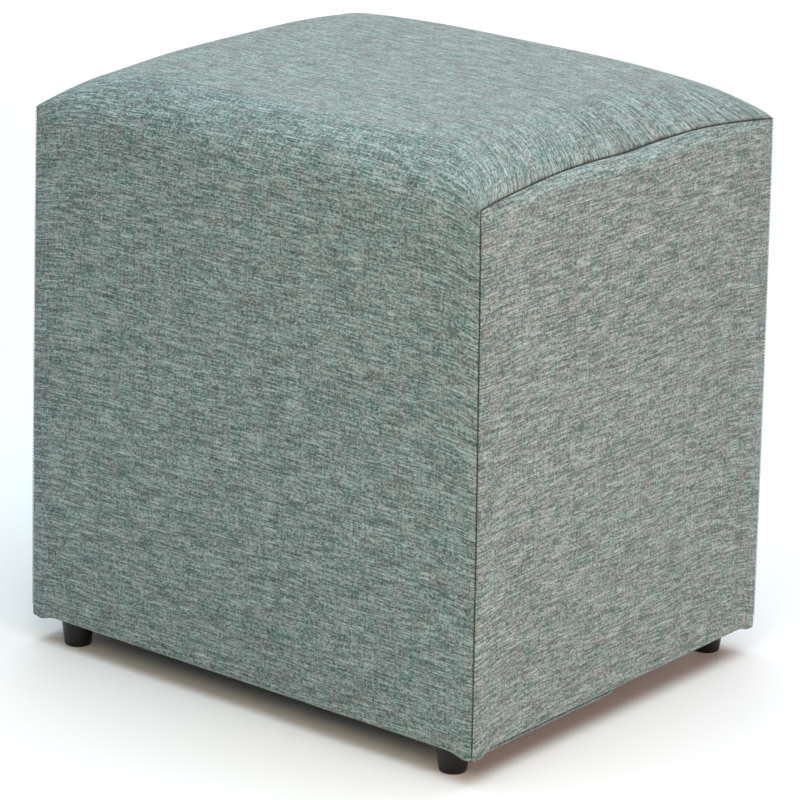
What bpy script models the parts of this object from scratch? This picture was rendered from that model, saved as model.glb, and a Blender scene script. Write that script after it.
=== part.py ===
"""Upholstered block stool with a crowned seat and four short round feet.

Metres, +Z up, front towards -Y, origin on the floor under the middle.

One strip of cloth, the wrap, runs up the front, over the seat and down the back on its filling:
it is one filled solid.  A side panel is sewn to it at each end, along two upright corner seams
and a top seam that lies a little inside the edge of the seat.  The wrap is a loft of closed
rings from seam to seam.  Each ring blends the outline of the seam with the section through the
middle of the stool, and each side panel is a grid that fills its seam's outline.
"""
import bmesh
import bpy
import numpy as np

# Driving dimensions.
WIDTH = 0.402           # over the side panels along X, at the bottom edge of the cloth
DEPTH = 0.335           # front face to back face along Y
FOOT_HEIGHT = 0.021     # floor to the bottom edge of the cloth
COVER_HEIGHT = 0.379    # bottom edge of the cloth to the four top corner tips
CLOTH = 0.0025          # cloth with its backing, as thick as a side panel
GAP = 0.0003            # between pieces that touch

# The seat's section through the middle: a quarter ellipse at front and back, then a low dome.
CROWN = 0.030           # top of the ellipse above the corner tips
DOME = 0.002            # further rise to the middle of the seat
ROLL_START = 0.009      # the ellipse starts this far below the corner tips
ROLL_REACH = 0.046      # and reaches this far in from the front face
FALL_LENGTH = 0.068     # the crown falls to the top seam over this length
DROOP_START = 0.020     # near a corner it is lower still: by half where the distances from
DROOP_LENGTH = 0.042    # face and seam add up to the start, less by e over each length on

# The seams.
SEAM_SINK = 0.0012      # the cloth draws in by this much along a seam
SEAM_SOFTNESS = 0.010   # and is back at full size this far from it
SEAM_RISE = 0.0075      # middle of a top seam above the corner tips
SEAM_INSET = 0.009      # middle of a top seam in from the straight line between the tips
TIP_INSET = 0.0046      # each corner tip is drawn in along X by this much
RIDGE_OUT = 0.003       # middle of the side's top edge, out from the line between the tips
RIDGE_DROP = 0.002      # and below that line

# Underside and feet.
EDGE_RADIUS = 0.004     # turned-under bottom edge of the cloth
HEM = 0.035             # width of the cloth turned under
BOARD_THICK = 0.003
BOARD_SET_IN = 0.001    # the board's face above the hem's
FOOT_INSET_X = 0.028    # foot centre in from the bottom edge, along X
FOOT_INSET_Y = 0.0185   # and along Y
FOOT_TOP_RADIUS = 0.0122
FOOT_BOTTOM_RADIUS = 0.0098
FOOT_ROUND = 0.0016     # rounded lower rim
FOOT_SIDES = 32

TIP_Z = FOOT_HEIGHT + COVER_HEIGHT

# Where the rings' points and the rings themselves lie.
FACE_HEIGHTS = np.array([0.009, 0.060, 0.130, 0.200, 0.270, 0.330])   # above the bottom edge
TIP_DROPS = np.array([0.020, 0.010, 0.005, 0.0])                      # below the corner tip
TIP_DISTANCES = np.array([0.0, 0.005, 0.010, 0.020, 0.040, 0.080, 0.125])
MIDDLE_DISTANCES = np.array([0.062, 0.092, 0.130])                    # on the dome, from the face
RING_DISTANCES = np.array([0.0, 0.005, 0.010, 0.018, 0.028, 0.042, 0.060, 0.100, 0.150])


def clear_scene():
    for old in list(bpy.data.objects):
        bpy.data.objects.remove(old, do_unlink=True)


def plain_material(name, colour, roughness):
    """A Principled BSDF with one colour and roughness."""
    material = bpy.data.materials.new(name)
    material.use_nodes = True
    shader = material.node_tree.nodes["Principled BSDF"]
    shader.inputs["Base Color"].default_value = (*colour, 1.0)
    shader.inputs["Roughness"].default_value = roughness
    shader.inputs["Metallic"].default_value = 0.0
    return material


def add_piece(name, points, faces, material, smooth_angle=None):
    """One named object from a closed mesh, with its faces turned outwards."""
    mesh = bpy.data.meshes.new(name)
    mesh.from_pydata([tuple(point) for point in points], [], faces)
    mesh.materials.append(material)
    shell = bmesh.new()
    shell.from_mesh(mesh)
    bmesh.ops.recalc_face_normals(shell, faces=shell.faces)
    shell.to_mesh(mesh)
    shell.free()
    if smooth_angle is not None:
        mesh.shade_smooth()
        mesh.set_sharp_from_angle(angle=smooth_angle)
    piece = bpy.data.objects.new(name, mesh)
    bpy.context.scene.collection.objects.link(piece)
    return piece


def grid_faces(rows, columns, start=0):
    """Quads of a grid of rows x columns points stored row by row from index start."""
    faces = []
    for row in range(rows - 1):
        for column in range(columns - 1):
            first = start + row * columns + column
            faces.append((first, first + 1, first + columns + 1, first + columns))
    return faces


def grid_normals(grid):
    """Unit normals at a grid's points, from its central differences."""
    normals = np.cross(np.gradient(grid, axis=0), np.gradient(grid, axis=1))
    return normals / np.linalg.norm(normals, axis=-1, keepdims=True)


def seam_arch(fraction):
    """0 at both corner tips, 1 in the middle: sine of the fraction, to a power that squares it."""
    return np.sin(np.pi * np.clip(fraction, 0.0, 1.0)) ** 0.6


def sink(distance):
    """How far the cloth is drawn in at a distance from a seam: a falling parabola."""
    return SEAM_SINK * np.clip(1.0 - distance / SEAM_SOFTNESS, 0.0, 1.0) ** 2


def corner_droop(distance, y):
    """Part of the crown's height lost near a corner: a logistic curve of the summed distances."""
    summed = distance + DEPTH / 2 - np.abs(y)
    return 1.0 / (1.0 + np.exp((summed - DROOP_START) / DROOP_LENGTH))


def tip_pull(height):
    """Inset along X of the upright edges, growing from the bottom edge to the tips."""
    return TIP_INSET * np.clip((height - FOOT_HEIGHT) / COVER_HEIGHT, 0.0, 1.0) ** 1.5


def mirrored(front):
    """Front half of an outline (y, z) from its start to the middle, then its mirror image."""
    return np.vstack([front, (front * (-1.0, 1.0))[::-1]])


def face_z():
    return FOOT_HEIGHT + FACE_HEIGHTS


def seam_outline():
    """(y, z) up the front to the tip, and over the top to the middle, at the seam."""
    upright_z = np.concatenate([face_z(), TIP_Z - TIP_DROPS])
    upright = np.column_stack([np.full(upright_z.size, -DEPTH / 2), upright_z])
    over_y = np.append(TIP_DISTANCES[1:], DEPTH / 2) - DEPTH / 2
    over_z = TIP_Z + SEAM_RISE * seam_arch(over_y / DEPTH + 0.5)
    return upright, np.column_stack([over_y, over_z])


def middle_outline():
    """The same points through the middle of the stool: face, quarter ellipse, low dome."""
    start_z = TIP_Z - ROLL_START
    turn = np.radians([0.0, 15.0, 30.0, 45.0, 60.0, 75.0, 90.0])
    roll = np.column_stack([ROLL_REACH * (1.0 - np.cos(turn)) - DEPTH / 2,
                            start_z + (ROLL_START + CROWN) * np.sin(turn)])
    face = np.column_stack([np.full(face_z().size, -DEPTH / 2), face_z()])
    dome_y = np.append(MIDDLE_DISTANCES, DEPTH / 2) - DEPTH / 2
    rise = 1.0 - (dome_y / (DEPTH / 2 - ROLL_REACH)) ** 2
    dome = np.column_stack([dome_y, TIP_Z + CROWN + DOME * rise])
    return np.vstack([face, roll[:4]]), np.vstack([roll[4:], dome])


def closed_ring(upright, over):
    """A whole ring from its front half: bottom edge, front, top, back, then the underside."""
    edge = np.array([[-DEPTH / 2 + 0.3 * EDGE_RADIUS, FOOT_HEIGHT + 0.3 * EDGE_RADIUS]])
    front = np.vstack([edge, upright, over[:-1]])
    around = np.vstack([front, over[-1:], (front * (-1.0, 1.0))[::-1]])
    under_y = -np.append(TIP_DISTANCES[1:], DEPTH / 2) + DEPTH / 2
    under = np.column_stack([under_y, np.full(under_y.size, FOOT_HEIGHT)])
    return np.vstack([around, under[:-1], (under * (-1.0, 1.0))[::-1]])


def ring_end(ring):
    """X of the seam at each point of the seam's ring."""
    over_top = ring[:, 1] >= TIP_Z - 1e-6
    arch = seam_arch(ring[:, 0] / DEPTH + 0.5)
    return WIDTH / 2 - tip_pull(ring[:, 1]) - np.where(over_top, SEAM_INSET * arch, 0.0)


def wrap_rings():
    """Rings from the left seam to the right one, as an array (ring, point, xyz)."""
    seam = closed_ring(*seam_outline())
    middle = closed_ring(*middle_outline())
    end_x = ring_end(seam)
    half = []
    for distance in np.append(RING_DISTANCES, WIDTH / 2):
        rise = 1.0 - np.clip(1.0 - distance / FALL_LENGTH, 0.0, 1.0) ** 3
        ring = seam + rise * (middle - seam)
        ring[:, 1] -= rise * (middle - seam)[:, 1] * corner_droop(distance, ring[:, 0])
        along = np.roll(ring, -1, axis=0) - np.roll(ring, 1, axis=0)
        outward = np.column_stack([-along[:, 1], along[:, 0]])
        outward /= np.linalg.norm(outward, axis=1, keepdims=True)
        ring = ring - sink(distance) * outward
        x = end_x * (1.0 - distance / (WIDTH / 2)) - (SEAM_SINK if distance == 0.0 else 0.0)
        half.append(np.column_stack([x, ring]))
    right = np.array(half)
    left = right[:-1] * (-1.0, 1.0, 1.0)
    return np.concatenate([left, right[::-1]])


def panel_grid(seam_ring):
    """The right side panel's outer surface, whose border is the seam ring.

    Rows run from the bottom edge to the top seam.  Up to the ridge a row is upright and bows
    out with the square of its height; the last two cross the narrow band on top.
    """
    rows = 1 + FACE_HEIGHTS.size + TIP_DROPS.size
    columns = 2 * TIP_DISTANCES.size + 1
    front = seam_ring[:rows]
    top = seam_ring[rows - 1:rows - 1 + columns]
    back = seam_ring[rows + columns - 2:2 * rows + columns - 2][::-1]
    bottom = np.vstack([seam_ring[2 * rows + columns - 3:], seam_ring[:1]])[::-1]
    across = (top[:, 1] - top[0, 1]) / (top[-1, 1] - top[0, 1])
    arch = seam_arch(across)
    grid = front[:, None] + across[None, :, None] * (back - front)[:, None]

    height = (grid[..., 2] - FOOT_HEIGHT) / COVER_HEIGHT
    from_seam = np.minimum(across, 1.0 - across) * DEPTH
    grid[..., 0] += RIDGE_OUT * arch * height ** 2 + SEAM_SINK - sink(from_seam)
    ridge_x = WIDTH / 2 - TIP_INSET + RIDGE_OUT
    ridge_z = TIP_Z - RIDGE_DROP
    band = 0.5 * (np.array([ridge_x, 0.0, ridge_z]) + top[columns // 2]) + (0.0008, 0.0, 0.0012)
    for row, x, z in ((-4, None, ridge_z - 0.012), (-3, ridge_x, ridge_z), (-2, band[0], band[2])):
        grid[row, :, 2] += arch * (z - grid[row, :, 2])
        if x is not None:
            grid[row, :, 0] += arch * (x - grid[row, :, 0])
    grid[0], grid[-1], grid[:, 0], grid[:, -1] = bottom, top, front, back
    return grid


def seam_mitre(ring):
    """At each seam point, the inward step of one cloth's depth, seen from both pieces.

    It is diagonal along the upright corners and the bottom edge, leans down under the top seam,
    and turns from one to the other within the seam's softness of a corner tip.
    """
    y, z = ring[:, 1], ring[:, 2]
    from_corner = DEPTH / 2 - np.abs(y)
    over_top = (z > TIP_Z - 2 * SEAM_SINK).astype(float)
    under = (z < FOOT_HEIGHT + FACE_HEIGHTS[0] / 2).astype(float)
    leave = np.clip(from_corner / SEAM_SOFTNESS - 0.2, 0.0, 1.0)
    return np.column_stack([over_top * 0.65 * leave - 1.0,
                            -np.sign(y) * (1.0 - leave),
                            under - over_top * (0.6 + 0.34 * leave)])


def border(grid):
    """A grid's border points in the order of the seam ring: front, top, back, bottom."""
    return np.concatenate([grid[:, 0], grid[-1, 1:], grid[-2::-1, -1], grid[0, -2:0:-1]])


def set_border(grid, ring):
    """A copy of the grid with its border points replaced, in the order of the seam ring."""
    rows, columns = grid.shape[:2]
    result = grid.copy()
    result[:, 0] = ring[:rows]
    result[-1] = ring[rows - 1:rows - 1 + columns]
    result[::-1, -1] = ring[rows + columns - 2:2 * rows + columns - 2]
    result[0] = np.vstack([ring[2 * rows + columns - 3:], ring[:1]])[::-1]
    return result


def sunk_grid(grid, mitre, depth):
    """The grid set in by a depth: along its normals inside, along the mitre at its border."""
    normals = grid_normals(grid)
    normals *= np.sign(normals[grid.shape[0] // 2, grid.shape[1] // 2, 0])
    return set_border(grid - depth * normals, border(grid) + depth * mitre)


def wrap_solid(rings, grid, mitre):
    """The filled solid: rings, then at each end a step down to where the side panel lies."""
    count, size = rings.shape[:2]
    rows, columns = grid.shape[:2]
    end = sunk_grid(grid, mitre, CLOTH + GAP)
    end_order = border(np.arange(rows * columns).reshape(rows, columns, 1))[:, 0]
    points = [rings.reshape(-1, 3), end.reshape(-1, 3), end.reshape(-1, 3) * (-1.0, 1.0, 1.0)]
    faces = []
    for ring in range(count - 1):
        for point in range(size):
            following = (point + 1) % size
            faces.append((ring * size + point, ring * size + following,
                          (ring + 1) * size + following, (ring + 1) * size + point))
    for seam_start, end_start in (((count - 1) * size, count * size),
                                  (0, count * size + rows * columns)):
        faces += grid_faces(rows, columns, end_start)
        for point in range(size):
            following = (point + 1) % size
            faces.append((seam_start + point, seam_start + following,
                          end_start + int(end_order[following]), end_start + int(end_order[point])))
    return np.vstack(points), faces


def panel_solid(grid, mitre):
    """A side panel: its outer grid, the same grid a cloth's thickness in, and its edges."""
    rows, columns = grid.shape[:2]
    seam = border(grid)
    along = np.roll(seam, -1, axis=0) - np.roll(seam, 1, axis=0)
    inward = np.cross(mitre, along)
    inward *= np.sign(np.sum(inward * (grid[rows // 2, columns // 2] - seam), axis=1, keepdims=True))
    inward *= np.sqrt(2.0) * GAP / np.linalg.norm(inward, axis=1, keepdims=True)
    outer = set_border(grid, seam + inward)
    inner = sunk_grid(grid, mitre, CLOTH)
    inner = set_border(inner, border(inner) + inward)
    order = [int(index) for index in border(np.arange(rows * columns).reshape(rows, columns, 1))[:, 0]]
    faces = grid_faces(rows, columns) + grid_faces(rows, columns, rows * columns)
    for first, following in zip(order, order[1:] + order[:1]):
        faces.append((first, following, rows * columns + following, rows * columns + first))
    return np.vstack([outer.reshape(-1, 3), inner.reshape(-1, 3)]), faces


def box_solid(low, high):
    """The eight corners and six faces of a box."""
    corners = [(x, y, z) for x in (low[0], high[0]) for y in (low[1], high[1]) for z in (low[2], high[2])]
    faces = [(0, 1, 3, 2), (4, 6, 7, 5), (0, 4, 5, 1), (2, 3, 7, 6), (0, 2, 6, 4), (1, 5, 7, 3)]
    return corners, faces


def board_box(margin):
    """Low and high corner of the base board, or of its recess when it has a margin."""
    half_x = WIDTH / 2 - HEM + margin
    half_y = DEPTH / 2 - HEM + margin
    low_z = FOOT_HEIGHT + BOARD_SET_IN
    return (-half_x, -half_y, low_z), (half_x, half_y, low_z + BOARD_THICK + margin)


def add_board(material):
    corners, faces = box_solid(*board_box(0.0))
    return add_piece("base_board", corners, faces, material)


def cut_board_recess(wrap):
    """Opens the wrap's underside for the base board."""
    low, high = board_box(GAP)
    corners, faces = box_solid((low[0], low[1], 0.0), high)
    cutter = add_piece("board_recess", corners, faces, wrap.data.materials[0])
    cutter.hide_render = True
    cutter.display_type = "WIRE"
    cut = wrap.modifiers.new("board recess", "BOOLEAN")
    cut.operation = "DIFFERENCE"
    cut.object = cutter


def foot_solid():
    """A turned foot: flat bottom, rounded lower rim, straight taper, flat top."""
    turn = np.radians([0.0, 30.0, 60.0, 90.0])
    rim = np.column_stack([FOOT_BOTTOM_RADIUS - FOOT_ROUND * (1.0 - np.sin(turn)),
                           FOOT_ROUND * (1.0 - np.cos(turn))])
    profile = np.vstack([rim, [[FOOT_TOP_RADIUS, FOOT_HEIGHT - GAP]]])
    angle = np.linspace(0.0, 2.0 * np.pi, FOOT_SIDES, endpoint=False)
    around = np.column_stack([np.cos(angle), np.sin(angle)])
    points = [(radius * x, radius * y, z) for radius, z in profile for x, y in around]
    faces = [tuple(range(FOOT_SIDES)), tuple(range(len(points) - FOOT_SIDES, len(points)))]
    for ring in range(len(profile) - 1):
        for side in range(FOOT_SIDES):
            following = (side + 1) % FOOT_SIDES
            faces.append((ring * FOOT_SIDES + side, ring * FOOT_SIDES + following,
                          (ring + 1) * FOOT_SIDES + following, (ring + 1) * FOOT_SIDES + side))
    return points, faces


def add_feet(material):
    """Four feet, which share one mesh."""
    first = add_piece("foot_front_left", *foot_solid(), material, np.radians(40.0))
    corners = {"foot_front_left": (-1, -1), "foot_front_right": (1, -1),
               "foot_back_left": (-1, 1), "foot_back_right": (1, 1)}
    for name, (side, end) in corners.items():
        foot = first if name == first.name else bpy.data.objects.new(name, first.data)
        foot.location = (side * (WIDTH / 2 - FOOT_INSET_X), end * (DEPTH / 2 - FOOT_INSET_Y), 0.0)
        if foot is not first:
            bpy.context.scene.collection.objects.link(foot)


def build():
    clear_scene()
    cloth = plain_material("slub cloth", (0.27, 0.34, 0.32), 0.9)
    board = plain_material("plain board", (0.10, 0.09, 0.08), 0.8)
    plastic = plain_material("black plastic", (0.012, 0.012, 0.013), 0.35)

    rings = wrap_rings()
    grid = panel_grid(rings[-1])
    mitre = seam_mitre(rings[-1])
    smooth = np.radians(50.0)
    wrap = add_piece("wrap_panel", *wrap_solid(rings, grid, mitre), cloth, smooth)
    cut_board_recess(wrap)
    points, faces = panel_solid(grid, mitre)
    add_piece("side_panel_right", points, faces, cloth, smooth)
    add_piece("side_panel_left", points * (-1.0, 1.0, 1.0), faces, cloth, smooth)
    add_board(board)
    add_feet(plastic)


build()
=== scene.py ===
# %% [markdown]
# # An upholstered block stool
# The real stool is a light box with foam on top, covered in one kind of cloth. One strip, the
# wrap, runs up the front, over the seat and down the back. A side panel is sewn to it at each end.
# Four short plastic feet carry it. This lesson loads the stool's fixed frame, which has the plain
# solids at their real size, and gives each visible piece its true surface and finish.

# %% Load the fixed frame
import math

import bpy
import mathutils
import numpy as np
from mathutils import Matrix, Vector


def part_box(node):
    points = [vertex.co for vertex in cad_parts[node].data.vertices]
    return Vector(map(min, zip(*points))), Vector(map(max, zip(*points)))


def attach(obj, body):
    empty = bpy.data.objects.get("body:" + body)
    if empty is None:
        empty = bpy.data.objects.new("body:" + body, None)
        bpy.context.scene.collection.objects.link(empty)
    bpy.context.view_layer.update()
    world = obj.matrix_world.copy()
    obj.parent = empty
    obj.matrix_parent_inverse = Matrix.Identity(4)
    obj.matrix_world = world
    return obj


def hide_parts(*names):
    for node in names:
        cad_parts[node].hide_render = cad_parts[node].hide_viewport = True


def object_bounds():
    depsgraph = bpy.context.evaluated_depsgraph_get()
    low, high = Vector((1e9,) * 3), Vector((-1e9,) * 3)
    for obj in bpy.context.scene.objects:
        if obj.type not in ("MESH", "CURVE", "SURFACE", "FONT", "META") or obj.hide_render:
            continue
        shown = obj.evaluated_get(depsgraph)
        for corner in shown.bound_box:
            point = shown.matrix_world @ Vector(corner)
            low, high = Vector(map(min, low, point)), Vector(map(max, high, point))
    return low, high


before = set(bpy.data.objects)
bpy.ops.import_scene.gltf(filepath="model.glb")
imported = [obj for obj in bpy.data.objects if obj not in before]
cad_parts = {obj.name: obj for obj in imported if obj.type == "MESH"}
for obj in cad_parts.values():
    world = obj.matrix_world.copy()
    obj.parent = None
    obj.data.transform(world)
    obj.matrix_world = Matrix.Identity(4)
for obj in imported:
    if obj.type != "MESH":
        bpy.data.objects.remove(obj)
cad_low, cad_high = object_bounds()
BODY = "root"
print("nodes:", sorted(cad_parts))
print("frame box, mm:", [round(1000 * side) for side in cad_high - cad_low])

# %% [markdown]
# ## Sizes
# Everything is placed from the frame's own boxes, so the cloth lies where the solids are. A maker
# would measure the same things: how far the seat's crown stands above the corner tips, where the
# roll at the front starts, and how far a seam draws the cloth in. They are named here once.

# %% Named sizes, in metres
wrap_low, wrap_high = (np.array(corner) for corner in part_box("wrap_panel"))
panel_high = np.array(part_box("side_panel_right")[1])
board_low, board_high = (np.array(corner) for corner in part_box("base_board"))
HALF_WIDTH = panel_high[0]
HALF_DEPTH = wrap_high[1]
BOTTOM = wrap_low[2]
CROWN = 0.030             # top of the roll above the corner tips
DOME = 0.002              # further rise to the middle of the seat
TIP_Z = wrap_high[2] - CROWN - DOME
ROLL_START = 0.009        # the roll starts this far below the tips
ROLL_REACH = 0.046        # and reaches this far in from the face
FALL_LENGTH = 0.068       # the crown falls to a top seam over this length
DROOP = 0.22              # part of the crown's height lost near a corner
DROOP_MIDDLE = 0.095      # summed distance from both edges at which half of the droop is gone
DROOP_LENGTH = 0.022
FLARE = 0.0010            # the foam pushes the ends out by this much
LOW_FLARE = 0.0012        # and by this much more at the bottom
SEAM_SINK = 0.0012        # a seam draws the cloth in by this much
SEAM_SOFTNESS = 0.010     # over this distance
SEAM_RISE = 0.0075        # middle of a top seam above the tips
SEAM_INSET = 0.009        # and in from the straight line between them
TIP_INSET = 0.0046        # each tip is drawn in along X
RIDGE_OUT = 0.003         # the side's top edge bows out
RIDGE_DROP = 0.002        # and lies a little below the tips
EDGE_RADIUS = 0.004       # turned-under bottom edge
CLOTH = 0.0025            # cloth with its backing
CLEAR = 0.0003            # between pieces that touch
HEM = HALF_WIDTH - board_high[0]
TIP_ZONE = 0.020          # the last stretch of an upright, where it meets the roll
print(f"tips at {1000 * TIP_Z:.0f} mm, hem {1000 * HEM:.0f} mm wide")

# %% [markdown]
# ## Grids into meshes
# A shape here is a rule that turns two running numbers into a point. Working the rule out for a
# whole grid at once, as arrays, is quick and keeps the code close to the geometry. This helper
# writes arrays straight into a mesh, turns its faces outwards by the sign of its volume, and stores
# cloth coordinates per face corner, so that a strip that closes on itself keeps its own lengths.

# %% Arrays into a mesh
def grid_quads(rows, columns, closed=False):
    """Corner indices of a grid's quads: into the stored points, and into a sheet that doesn't close."""
    row, column = np.meshgrid(np.arange(rows - 1), np.arange(columns if closed else columns - 1),
                              indexing="ij")
    corner_rows = row.ravel()[:, None] + [0, 0, 1, 1]
    corner_columns = column.ravel()[:, None] + [0, 1, 1, 0]
    width = columns + 1 if closed else columns
    return corner_rows * columns + corner_columns % columns, corner_rows * width + corner_columns


def closed_volume(points, loops, starts, totals):
    """Volume enclosed by the faces, as a sum of cones from the origin over fans of triangles."""
    volume = 0.0
    for size in np.unique(totals):
        face = starts[totals == size][:, None] + np.arange(size)
        corner = points[loops[face]]
        for step in range(1, size - 1):
            volume += np.einsum("ij,ij->", corner[:, 0],
                                np.cross(corner[:, step], corner[:, step + 1])) / 6.0
    return volume


def make_piece(name, points, face_sets, maps):
    """A smooth mesh object from points, arrays of faces and, for each map, arrays of corner values."""
    flipped = False
    for attempt in range(2):
        loops = np.concatenate([faces[:, ::-1].ravel() if flipped else faces.ravel()
                                for faces in face_sets])
        totals = np.concatenate([np.full(len(faces), faces.shape[1]) for faces in face_sets])
        starts = np.cumsum(totals) - totals
        if closed_volume(points, loops, starts, totals) > 0.0:
            break
        flipped = True
    mesh = bpy.data.meshes.new(name)
    mesh.vertices.add(len(points))
    mesh.loops.add(len(loops))
    mesh.polygons.add(len(totals))
    mesh.vertices.foreach_set("co", np.ascontiguousarray(points, np.float32).ravel())
    mesh.loops.foreach_set("vertex_index", loops.astype(np.int32))
    mesh.polygons.foreach_set("loop_start", starts.astype(np.int32))
    mesh.polygons.foreach_set("use_smooth", np.ones(len(totals), bool))
    mesh.update(calc_edges=True)
    for map_name, corner_sets in maps.items():
        values = np.concatenate([(corners[:, ::-1] if flipped else corners).reshape(-1, 2)
                                 for corners in corner_sets])
        layer = mesh.uv_layers.new(name=map_name)
        layer.uv.foreach_set("vector", values.astype(np.float32).ravel())
    piece = bpy.data.objects.new(name, mesh)
    bpy.context.scene.collection.objects.link(piece)
    print(f"{name}: {len(points)} points, {len(totals)} faces")
    return piece


# %% [markdown]
# ## The outline of a seam and the section through the middle
# Cut the stool upright through its middle and the wrap shows as a closed ring: two straight faces,
# two soft rolls and a low dome. At its ends the ring is the seam's outline, which is squarer and
# lower. Both are written with the same number of points, so that one can be blended into the
# other. Each ring runs up the front, over the top, down the back and home along the underside.

# %% Two matching rings
UPRIGHT_STEPS = 108
TIP_STEPS = 26
EDGE_STEPS = 5


def seam_arch(fraction):
    """0 at both tips and 1 in the middle: the sine of the fraction, flattened by a power."""
    return np.sin(np.pi * np.clip(fraction, 0.0, 1.0)) ** 0.6


def seam_wave(fraction):
    """The hand-guided wobble of a top seam, in metres: three soft bumps."""
    def bump(middle, width):
        return np.exp(-((fraction - middle) / width) ** 2)
    return 0.0008 * bump(0.28, 0.10) - 0.0014 * bump(0.51, 0.07) + 0.0015 * bump(0.77, 0.12)


def edge_lift(inset):
    """Height of the turned-under edge above the underside at an inset: a quarter circle."""
    return EDGE_RADIUS - np.sqrt(EDGE_RADIUS ** 2 - np.clip(EDGE_RADIUS - inset, 0.0, None) ** 2)


corner_turn = np.radians(np.linspace(45.0, 90.0, EDGE_STEPS))
edge_inset = EDGE_RADIUS * (1.0 - np.sin(corner_turn))
edge_height = EDGE_RADIUS * (1.0 - np.cos(corner_turn))
share = np.linspace(0.0, 1.0, UPRIGHT_STEPS + 1)[1:]
tip_share = np.linspace(0.0, 1.0, TIP_STEPS + 1)[1:]
hem_lines = HEM + np.array([-0.0020, -0.0014, -0.0010, -0.0006])
top_distance = np.concatenate([TIP_ZONE * tip_share,
                               np.linspace(TIP_ZONE, HEM, 6)[1:-1], hem_lines,
                               np.linspace(HEM, HALF_DEPTH, 44)])

upright_inset = np.concatenate([edge_inset, np.zeros(UPRIGHT_STEPS + TIP_STEPS)])
seam_up = np.concatenate([BOTTOM + edge_height,
                          BOTTOM + EDGE_RADIUS + share * (TIP_Z - TIP_ZONE - BOTTOM - EDGE_RADIUS),
                          TIP_Z - TIP_ZONE * (1.0 - tip_share)])
middle_up = np.concatenate([BOTTOM + edge_height,
                            BOTTOM + EDGE_RADIUS + share * (TIP_Z - ROLL_START - BOTTOM - EDGE_RADIUS)])
UP = seam_up.size
OVER = 2 * top_distance.size + 1
print(f"{UP} points up each face, {OVER} over the seat")


def mirror_back(front_half):
    """A front half that ends on the middle line, with its mirror image added."""
    return np.vstack([front_half, (front_half[:-1] * (-1.0, 1.0))[::-1]])


def ring_from(front, underside):
    """A whole ring (y, z): front upright and top to the middle, mirrored, then the underside."""
    around = mirror_back(front)
    below = mirror_back(underside * (-1.0, 1.0))
    return np.vstack([around, below[1:-1]])


roll_turn = np.radians(45.0 * tip_share)
roll_height = ROLL_START + CROWN
roll_low = np.column_stack([ROLL_REACH * (1.0 - np.cos(roll_turn)),
                            TIP_Z - ROLL_START + roll_height * np.sin(roll_turn)])
roll_high = np.column_stack([ROLL_REACH * (1.0 - np.cos(roll_turn + np.pi / 4)),
                             TIP_Z - ROLL_START + roll_height * np.sin(roll_turn + np.pi / 4)])
dome_share = (top_distance[TIP_STEPS:] - TIP_ZONE) / (HALF_DEPTH - TIP_ZONE)
dome_inset = ROLL_REACH + dome_share * (HALF_DEPTH - ROLL_REACH)
dome_z = TIP_Z + CROWN + DOME * (1.0 - ((HALF_DEPTH - dome_inset) / (HALF_DEPTH - ROLL_REACH)) ** 2)

seam_front = np.column_stack([np.concatenate([upright_inset, top_distance]) - HALF_DEPTH,
                              np.concatenate([seam_up, TIP_Z + SEAM_RISE
                                              * seam_arch(top_distance / (2 * HALF_DEPTH))])])
middle_front = np.vstack([np.column_stack([upright_inset[:middle_up.size], middle_up]), roll_low,
                          roll_high, np.column_stack([dome_inset, dome_z])]) - (HALF_DEPTH, 0.0)
under_inset = edge_inset[0] + np.append(0.0, top_distance) * (1.0 - edge_inset[0] / HALF_DEPTH)
underside = np.column_stack([under_inset - HALF_DEPTH, BOTTOM + edge_lift(under_inset)])
seam_ring = ring_from(seam_front, underside)
middle_ring = ring_from(middle_front, underside)
AROUND = len(seam_ring)
LAST_FRONT_BACK = 2 * UP + OVER - 3          # the ring's points after this one are underneath
on_top = np.arange(UP - 1, UP + OVER - 1)
seam_ring[on_top, 1] += seam_wave(seam_ring[on_top, 0] / (2 * HALF_DEPTH) + 0.5)
print(f"{AROUND} points around a ring")

# %% [markdown]
# ## The wrap's surface
# Between a seam and the middle the ring is a blend of the two. The crown rises quickly from the
# seam, as foam under tight cloth does, and less near a corner, where the cloth is pulled from two
# sides. A seam also draws the cloth in a little on both sides of it. The underside has a shallow
# recess, where the hem ends and the base board begins.

# %% Blend the rings into a surface
def unit(vectors):
    """The vectors at length one."""
    return vectors / np.linalg.norm(vectors, axis=-1, keepdims=True)


def smooth_step(value):
    """0 below 0, 1 above 1, and a smooth cubic between."""
    value = np.clip(value, 0.0, 1.0)
    return value * value * (3.0 - 2.0 * value)


def sink(distance):
    """How far a seam draws the cloth in at a distance: a falling parabola."""
    return SEAM_SINK * np.clip(1.0 - distance / SEAM_SOFTNESS, 0.0, 1.0) ** 2


def tip_pull(height):
    """How far an upright edge leans in at a height, growing with a power of it."""
    return TIP_INSET * np.clip((height - BOTTOM) / (TIP_Z - BOTTOM), 0.0, 1.0) ** 1.5


def seam_x(ring):
    """X of the seam at each point of its ring: leaning uprights, and a top line set in."""
    arch = seam_arch(ring[:, 0] / (2 * HALF_DEPTH) + 0.5)
    on_top = np.arange(len(ring)) - (UP - 1)
    inset = np.where((on_top >= 0) & (on_top < OVER), SEAM_INSET * arch, 0.0)
    low = np.clip(1.0 - (ring[:, 1] - BOTTOM) / (TIP_Z - BOTTOM), 0.0, 1.0)
    flare = FLARE + LOW_FLARE * low
    return HALF_WIDTH - SEAM_SINK + flare - tip_pull(ring[:, 1]) - inset


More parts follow.
